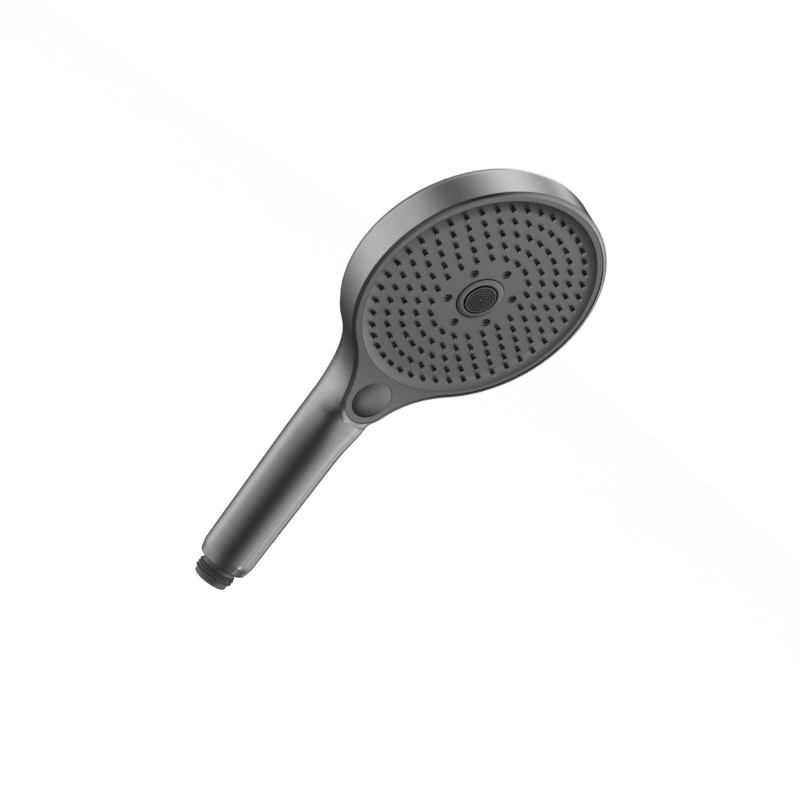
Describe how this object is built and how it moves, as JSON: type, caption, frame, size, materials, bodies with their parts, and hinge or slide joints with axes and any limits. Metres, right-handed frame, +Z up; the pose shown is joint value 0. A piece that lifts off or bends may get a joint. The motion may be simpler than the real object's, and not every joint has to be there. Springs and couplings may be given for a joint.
{
  "type": "handheld shower head",
  "caption": "Handheld shower head: round dished spray face with rubber nozzles and a centre spray, spray-select button in the neck, round brushed handle with a threaded inlet.",
  "frame": {"origin": "centre of the inlet's end face, on the axis of the handle and its thread", "axes": "+Z up the handle's axis towards the head, +X to the right as seen from the spray side, -Y towards the spray side; the spray face is tilted 15.8 degrees forward of the handle"},
  "size_m": [0.1302, 0.0698, 0.2652],
  "materials": {
    "plated_shell": "brushed dark nickel-grey plating over moulded plastic",
    "face_grey": "satin grey face plastic",
    "nozzle_rubber": "soft dark silicone",
    "screen_dark": "satin",
    "moulded_grey": "moulded",
    "inlet_grey": "moulded, slightly shiny",
    "seal_black": "soft",
    "acetal": "moulded",
    "steel": "bright",
    "moulded_pale": "moulded"
  },
  "bodies": {
    "head": {"rear_shell": "plated_shell", "front_bezel": "face_grey", "spray_plate": "face_grey", "nozzle_mat": "nozzle_rubber", "jet_ring": "face_grey", "centre_insert": "face_grey", "spray_screen": "screen_dark", "chamber_body": "moulded_grey", "chamber_seal": "seal_black", "valve_body": "moulded_grey", "waterway_plugs": "moulded_pale", "port_seals": "seal_black", "return_spring": "steel", "valve_lid": "moulded_grey", "spindle_seal": "seal_black", "water_tube": "moulded_pale", "tube_o_rings": "seal_black", "inlet_connector": "inlet_grey", "retaining_ring": "steel", "flow_limiter": "moulded_pale", "limiter_o_ring": "seal_black", "inlet_strainer": "steel", "fixing_screws": "steel"},
    "button": {"push_button": "face_grey", "button_stem": "acetal"},
    "drive": {"drive_sleeve": "steel", "pawl_spring": "steel"},
    "valve": {"valve_drum": "acetal", "ratchet_ring": "acetal"},
    "rotor": {"turbine": "acetal"}
  },
  "joints": [
    {"name": "button_press", "type": "slide", "parent": "head", "child": "button", "axis": [0, 0.9622, 0.2723], "range_m": [0, 0.0025], "stiffness_N_per_m": 2500, "springref_m": -0.002, "deforming": ["return_spring"]},
    {"name": "sleeve_turn", "type": "hinge", "parent": "head", "child": "drive", "pos_m": [0, -0.00854, 0.12807], "axis": [0, -0.9622, -0.2723], "range_deg": [0, 60.5], "deforming": ["pawl_spring"]},
    {"name": "valve_turn", "type": "hinge", "parent": "head", "child": "valve", "pos_m": [0, -0.00084, 0.13025], "axis": [0, -0.9622, -0.2723], "continuous": true},
    {"name": "turbine_spin", "type": "hinge", "parent": "head", "child": "rotor", "pos_m": [0, -0.02896, 0.20023], "axis": [0, -0.9622, -0.2723], "continuous": true}
  ],
  "couplings": [
    {"joint": "sleeve_turn", "follows": "button_press", "rad_per_m": 418.88}
  ]
}
